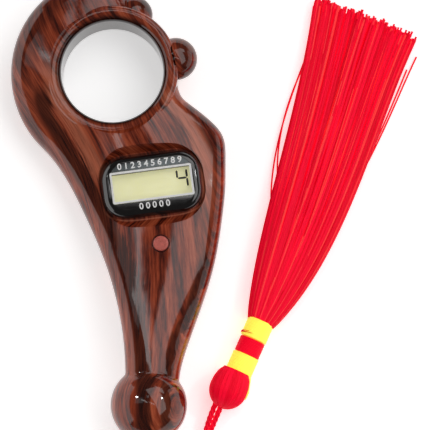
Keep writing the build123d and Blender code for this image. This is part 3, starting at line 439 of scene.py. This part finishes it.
# Tassel cord: red rayon, laid double from the pin in the ball to the tassel's head. Each of its two
# legs is three yarns twisted together.
def tube(centres, radii, sides):
    """Points and faces of a round closed tube along the centres."""
    path = np.asarray(centres, float)
    radii = np.broadcast_to(np.asarray(radii, float), (len(path),))
    heading = np.gradient(path, axis=0)
    heading /= np.linalg.norm(heading, axis=1)[:, None]
    side = np.cross(heading[0], (0.0, 0.0, 1.0))
    points = []
    for centre, ahead, r in zip(path, heading, radii):
        side = side - ahead * (side @ ahead)
        side /= np.linalg.norm(side)
        up = np.cross(ahead, side)
        for k in range(sides):
            turn = 2 * math.pi * k / sides
            points.append(centre + r * (math.cos(turn) * side + math.sin(turn) * up))
    faces = []
    for i in range(len(path) - 1):
        for k in range(sides):
            n = (k + 1) % sides
            faces.append((i * sides + k, i * sides + n, (i + 1) * sides + n, (i + 1) * sides + k))
    last = (len(path) - 1) * sides
    faces.append(tuple(reversed(range(sides))))
    faces.append(tuple(last + k for k in range(sides)))
    return points, faces


def made_of_tubes(name, tubes, mat, shades):
    """One mesh of many tubes, each with its own shade of the dye."""
    points, faces, shade = [], [], []
    for (tube_points, tube_faces), own in zip(tubes, shades):
        start = len(points)
        points.extend(tube_points)
        faces.extend(tuple(start + v for v in face) for face in tube_faces)
        shade.extend([own] * len(tube_points))
    mesh = bpy.data.meshes.new(name)
    mesh.from_pydata([tuple(p) for p in points], [], faces)
    mesh.attributes.new("shade", "FLOAT", "POINT").data.foreach_set("value", np.array(shade, np.float32))
    mesh.polygons.foreach_set("use_smooth", [True] * len(mesh.polygons))
    mesh.materials.append(mat)
    return placed(name, mesh)


def yarn(name, deep, light, painted_glint, sheen, gloss, painted_glow):
    """Dyed rayon: its own shade on each thread, a fine fuzz, and a painted light for the light that shines
    through it.
    """
    mat, tree, shader, place = finish_of(name)
    own = tree.nodes.new("ShaderNodeAttribute")
    own.attribute_name = "shade"
    fuzz = speckle(tree, place, 2600, 3.0, 0.6)
    depth = reckon(tree, "ADD", product(tree, own.outputs["Fac"], 0.75), product(tree, fuzz, 0.25))
    # Painted highlight: threads of the highest shade take the last and lightest colour.
    dye = tones(tree, depth, (0.1, deep), (0.87, light), (1.0, painted_glint))
    tree.links.new(dye, shader.inputs["Base Color"])
    tree.links.new(dye, shader.inputs["Emission Color"])
    # Painted light: the dye's colour is given out, though the yarn is no lamp.
    shader.inputs["Emission Strength"].default_value = painted_glow
    tree.links.new(spread(tree, fuzz, 0.4, 0.6), shader.inputs["Roughness"])
    shader.inputs["Specular IOR Level"].default_value = gloss
    shader.inputs["Sheen Weight"].default_value = sheen
    shader.inputs["Sheen Roughness"].default_value = 0.4
    shader.inputs["Sheen Tint"].default_value = (*light, 1)
    relief(tree, shader.inputs["Normal"], fuzz, 0.00004)
    return mat


red = yarn("red_rayon_painted_light", (0.66, 0.0, 0.012), (1.0, 0.004, 0.036), (1.0, 0.050, 0.050),
           sheen=0.03, gloss=0.10, painted_glow=0.34)
gold = yarn("yellow_rayon_painted_light", (0.95, 0.74, 0.02), (1.0, 0.97, 0.16), (1.0, 0.98, 0.40),
            sheen=0.3, gloss=0.6, painted_glow=0.40)

route = bpy.data.curves.new("cord_route", "CURVE")
route.dimensions = "3D"
route.resolution_u = 40
line = route.splines.new("NURBS")
stops = ((0.0079, -0.0504, 0.0095), (0.0079, -0.0640, 0.0095), (0.0080, -0.0740, 0.0016),
         (0.0199, -0.0750, 0.0016), (0.0208, -0.0580, 0.0016), (0.0268, -0.0456, 0.0043))
line.points.add(len(stops) - 1)
for point, stop in zip(line.points, stops):
    point.co = (*stop, 1.0)
line.order_u = 3
line.use_endpoint_u = True
guide = placed("cord_route", route)
traced = bpy.data.meshes.new_from_object(guide)
bpy.data.objects.remove(guide)
way = np.array([v.co for v in traced.vertices])
run = np.concatenate(([0.0], np.cumsum(np.linalg.norm(np.diff(way, axis=0), axis=1))))

headings = np.gradient(way, axis=0)
headings /= np.linalg.norm(headings, axis=1)[:, None]
across = np.cross(headings, (0.0, 0.0, 1.0))
across /= np.linalg.norm(across, axis=1)[:, None]
above = np.cross(across, headings)


def off_line(distance, turns, start):
    """Steps off the route to a line that winds round it."""
    angle = 2 * math.pi * turns * run / run[-1] + start
    return distance * (np.cos(angle)[:, None] * across + np.sin(angle)[:, None] * above)


leg_off, leg_turns, leg_start = 0.00076, 1.0, 0.3
ply_off, ply_turns, ply_r = 0.00036, 16.0, 0.00039
legs, shades = [], []
for leg in (0.0, math.pi):
    for ply in range(3):
        laid = way + off_line(leg_off, leg_turns, leg + leg_start)
        laid = laid + off_line(ply_off, ply_turns, leg + ply * 2 * math.pi / 3)
        legs.append(tube(laid, ply_r, 8))
        shades.append(0.35 + 0.15 * ply)
cord = made_of_tubes("cord_legs", legs, red, shades)
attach(cord, "housing")
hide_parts("tassel_cord")

# Tassel head: the skirt's own yarn folded over the cord's end into a ball and tied below it,
# so the yarns run over it from pole to pole.
tall = np.array((0.0, 0.0, 1.0))
axis = np.array((0.405, 0.9143, 0.0))
wide = np.cross(axis, tall)


def around(angle):
    """Directions away from the tassel's axis, at each angle round it."""
    return np.cos(angle)[:, None] * wide + np.sin(angle)[:, None] * tall


ball = np.array((0.0277, -0.0454, 0.0048))
ball_r, ball_below, ball_above = 0.00452, 0.0049, 0.0052
fold_count, fold_r, fold_lean = 84, 0.00024, 0.25
swing = np.linspace(math.radians(8), math.radians(164), 22)
lower = swing < math.pi / 2
reach = np.where(lower, ball_below, ball_above) * -np.cos(swing)
full = np.where(lower, np.sin(swing), np.maximum(np.sin(swing) ** 0.45, 0.7))
rng = np.random.default_rng(7)
folds, shades = [], []
for i in range(fold_count):
    round_r = (ball_r + 0.00006 * rng.standard_normal()) * full
    angle = 2 * math.pi * i / fold_count + fold_lean * (swing - swing[0]) / (swing[-1] - swing[0])
    arc = ball + reach[:, None] * axis + round_r[:, None] * around(angle)
    folds.append(tube(arc, fold_r, 6))
    shades.append(0.25 + 0.65 * rng.random())
head = made_of_tubes("tassel_head", folds, red, shades)
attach(head, "housing")
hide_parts("tassel_knot")

# Whippings: three bands of rayon thread wound tightly round the tassel's neck,
# yellow, red and yellow. Each band is one thread, turn beside turn.
neck = np.array((0.0301, -0.0413, 0.0035))
thread = 0.00018
for name, node, start, end, r, mat, slot in (
        ("whipping_lower", "tassel_band_lower", 0.0, 0.0050, 0.0035, gold, "yellow_thread"),
        ("whipping_middle", "tassel_band_middle", 0.0050, 0.0092, 0.00335, red, "red_thread"),
        ("whipping_upper", "tassel_band_upper", 0.0092, 0.0143, 0.0035, gold, "yellow_thread")):
    wound_long = end - start - 2 * thread
    turns = round(wound_long / (1.8 * thread))
    t = np.linspace(0, 1, turns * 40)
    angle = 2 * math.pi * turns * t
    reach = start + thread + wound_long * t
    hold = r - thread - 0.00006 + 0.00004 * np.sin(angle * 0.37 + 3 * t)
    wound = neck + reach[:, None] * axis + hold[:, None] * around(angle)
    core = neck + np.array((start + 0.0001, end - 0.0001))[:, None] * axis
    turned = [tube(wound, thread, 6), tube(core, r - 1.4 * thread, 32)]
    band = made_of_tubes(name, turned, mat, [0.6, 0.3])
    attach(band, "housing")
    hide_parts(node)

# Loose end: a flat lock of six yellow threads of the lower whipping, which lies down the head's right
# side. Two red threads of the neck show through a slit in the upper whipping.
lock_line = np.array(((0.0319, -0.0413, 0.0048), (0.0321, -0.0430, 0.0048), (0.0318, -0.0450, 0.0048),
                      (0.0316, -0.0464, 0.0047), (0.0308, -0.0480, 0.0045)))
lock = [tube(lock_line + (0.0002 * k, 0.0, 0.0), thread, 6) for k in range(6)]
tail = made_of_tubes("loose_yellow_end", lock, gold, [0.5 + 0.08 * k for k in range(6)])
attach(tail, "housing")
slit_r = 0.00352
slit = []
for k in range(2):
    angle = np.radians(np.linspace(172, 100 + 18 * k, 12))
    reach = np.linspace(0.00985, 0.01030, 12) + 0.00028 * k
    shown = neck + reach[:, None] * axis + slit_r * around(angle)
    slit.append(tube(shown, np.linspace(0.00019, 0.00005, 12), 6))
# Both take the darkest shade of the dye: the dark red of the neck, and painted shade for the slit they lie
# in.
crossing = made_of_tubes("neck_threads", slit, red, [0.0, 0.0])
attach(crossing, "housing")

# Skirt: more than five hundred loose rayon yarns, cut level at their ends and spread flat on the
# table. They leave the neck at once, and a few of them stray from the rest at both sides.
along = np.array((0.323, 0.9464, 0.0))
flank = np.cross(along, tall)
t = np.linspace(0, 1, 30) ** 1.25


def eased(shares, values, power):
    """Values given at some shares of the skirt's length, as one smooth change along it."""
    return np.polyval(np.polyfit(shares, values, power), t)


mid_shares = (0.0, 0.27, 0.55, 1.0)
mid_x = eased(mid_shares, (0.0355, 0.0438, 0.0517, 0.0622), 3)
mid_y = eased(mid_shares, (-0.0294, -0.0115, 0.0110, 0.0494), 3)
half_high = eased(mid_shares, (0.0031, 0.0033, 0.0029, 0.0023), 3)

# Next to the neck the bundle bursts open and leans to the right, and its right edge is drawn in.
burst = 1 - np.exp(-t / 0.03)
drawn_in = 0.0012 * burst * (1 - t ** 1.6) - 0.0005 * t ** 6
lopsided = 0.0011 * burst * np.exp(-t / 0.35) - drawn_in
half_wide = 0.0013 * (1 - np.exp(-t / 0.025)) - drawn_in + eased(
    (0.0, 0.03, 0.24, 0.36, 0.48, 0.64, 0.80, 0.93, 1.0),
    (0.0032, 0.0040, 0.0077, 0.0090, 0.0098, 0.0104, 0.0110, 0.0117, 0.0121), 4)
middle = np.stack((mid_x, mid_y, half_high + 0.0002), axis=1) + lopsided[:, None] * flank

# Many yarns lie on the bundle's outside and the others fill it evenly; every eighth one gets a painted
# highlight.
yarn_count, rim_count, painted_glint_every = 560, 230, 8
yarn_r, stray_r, inset = 0.00028, 0.00023, 0.0003
yarns, shades = [], []
for i in range(yarn_count):
    turn = i * math.pi * (3 - math.sqrt(5))
    out = 1.0 if i < rim_count else math.sqrt((i - rim_count + 0.5) / (yarn_count - rim_count))
    u, v = out * math.cos(turn), out * math.sin(turn)
    u = u + 0.10 * t * rng.standard_normal() + 0.04 * np.sin(3.1 * t + 6.3 * rng.random()) * t
    v = v + 0.08 * t * rng.standard_normal()
    over = np.maximum(np.sqrt(u ** 2 + v ** 2), 1.0)
    u, v = u / over, v / over
    strand = middle + (u * (half_wide - inset))[:, None] * flank
    strand = strand + (v * (half_high - inset))[:, None] * tall
    short = 0.0004 + 0.0020 * np.clip(u, 0, 1) ** 2 + 0.0008 * rng.standard_normal()
    strand = strand - (short * t ** 3)[:, None] * along
    yarns.append(tube(strand, yarn_r + 0.00002 * rng.standard_normal(), 5))
    # Painted highlight on every eighth yarn.
    painted_glint_yarn = i % painted_glint_every == 0
    shades.append(1.15 if painted_glint_yarn else np.clip(0.55 + 0.42 * rng.standard_normal(), 0, 0.95))

stray_lines = (((0.0410, 0.0010), (0.0401, 0.0090), (0.0404, 0.0175), (0.0424, 0.0257), (0.0447, 0.0320),
                (0.0470, 0.0375), (0.0495, 0.0430)),
               ((0.0395, -0.0080), (0.0386, 0.0000), (0.0386, 0.0083), (0.0400, 0.0165), (0.0426, 0.0257),
                (0.0452, 0.0335), (0.0488, 0.0430)),
               ((0.0560, 0.0000), (0.0600, 0.0072), (0.0648, 0.0155), (0.0672, 0.0212), (0.0704, 0.0283),
                (0.0735, 0.0350), (0.0754, 0.0392)),
               ((0.0552, -0.0015), (0.0592, 0.0060), (0.0638, 0.0145), (0.0663, 0.0204), (0.0692, 0.0270),
                (0.0716, 0.0325), (0.0730, 0.0360)))
stray_t = np.linspace(0, 1, 24)
sinking = 0.0004 + 0.0024 * (1 - stray_t) ** 2
for stray in stray_lines:
    bend_x, bend_y = np.polyfit(np.linspace(0, 1, len(stray)), np.array(stray), 3).T
    lie = np.stack((np.polyval(bend_x, stray_t), np.polyval(bend_y, stray_t), sinking), axis=1)
    yarns.append(tube(lie, stray_r, 5))
    shades.append(0.3)
skirt = made_of_tubes("tassel_yarns", yarns, red, shades)
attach(skirt, "housing")
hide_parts("tassel_skirt")

# Table: a plain white sheet that the counter lies on, with no edge in view. It glows a little, as a
# sheet does that is lit from all round.
table_half = 2.0
table_mesh = bpy.data.meshes.new("table")
table_mesh.from_pydata([(sx * table_half, sy * table_half, 0) for sx, sy in corners], [], [(0, 1, 2, 3)])
table = placed("table", table_mesh)
paper, tree, shader, place = finish_of("white_table")
tree.links.new(tones(tree, speckle(tree, place, 40), (0.3, (0.90, 0.90, 0.90)), (0.7, (0.92, 0.92, 0.92))),
               shader.inputs["Base Color"])
shader.inputs["Roughness"].default_value = 0.7
shader.inputs["Emission Color"].default_value = (1, 1, 1, 1)
shader.inputs["Emission Strength"].default_value = 0.55
table_mesh.materials.append(paper)


# Light: soft boxes hang level over the object, a narrow slanted strip above it, a long one turned
# across its right, small ones at its left and behind; two small lamps point at the ball, and low white
# screens close the room at both sides.
def lit(name, spot, face, size, brightness, tint=(1, 1, 1), turn=0.0):
    """A soft box of one brightness, facing one way."""
    lamp = bpy.data.lights.new(name, "AREA")
    lamp.shape = "RECTANGLE"
    lamp.size, lamp.size_y = size
    lamp.energy = brightness * math.pi * size[0] * size[1]
    lamp.color = tint
    holder = placed(name, lamp)
    holder.location = spot
    aim = Vector(face).to_track_quat("-Z", "Y") @ Quaternion((0, 0, 1), math.radians(turn))
    holder.rotation_euler = aim.to_euler()


def aimed(name, spot, target, radius, cone, power):
    """A small lamp that points at one place."""
    lamp = bpy.data.lights.new(name, "SPOT")
    lamp.energy = power
    lamp.shadow_soft_size = radius
    lamp.spot_size, lamp.spot_blend = math.radians(cone), 0.4
    holder = placed(name, lamp)
    holder.location = spot
    holder.rotation_euler = (Vector(target) - Vector(spot)).to_track_quat("-Z", "Y").to_euler()


down = (0, 0, -1)
ball_end = (0.008, -0.047, 0.014)
lit("strip_left", (-0.014, 0.020, 0.75), down, (0.57, 0.042), 3.1, turn=-19.7)
lit("box_right", (0.50, 0.15, 0.75), down, (0.60, 1.5), 1.75, turn=30.0)
lit("box_left", (-0.42, 0.09, 0.75), down, (0.40, 0.22), 0.6)
lit("box_behind", (-0.010, 0.24, 0.75), down, (0.06, 0.10), 2.0, tint=(0.86, 0.97, 1.0))
lit("box_far", (0.70, 0.85, 0.75), down, (0.60, 0.5), 2.0)
aimed("lamp_left", (-0.49, 0.252, 0.69), ball_end, radius=0.04, cone=5.0, power=5.0)
aimed("lamp_right", (0.584, 0.203, 0.65), ball_end, radius=0.04, cone=5.0, power=5.0)
lit("screen_left", (-0.62, 0.0, 0.20), (1, 0, 0), (1.4, 0.38), 1.4)
lit("screen_right", (1.0, 0.0, 0.18), (-1, 0, 0), (1.4, 0.34), 0.8)
room = bpy.data.worlds.new("room")
room.use_nodes = True
room.node_tree.nodes["Background"].inputs["Color"].default_value = (1.0, 0.90, 0.86, 1)
room.node_tree.nodes["Background"].inputs["Strength"].default_value = 0.10
bpy.context.scene.world = room
bpy.context.scene.view_settings.view_transform = "Standard"

# Camera: nearly straight down on the display, tipped back by seven degrees, with a long lens
# three quarters of a metre away.
eye = bpy.data.cameras.new("camera")
eye.sensor_width = 36.0
eye.lens = 251.2
eye.clip_start, eye.clip_end = 0.01, 20.0
camera = placed("camera", eye)
camera.location = (0.0243, -0.0935, 0.7529)
camera.rotation_euler = (math.radians(7), 0, 0)
bpy.context.scene.camera = camera
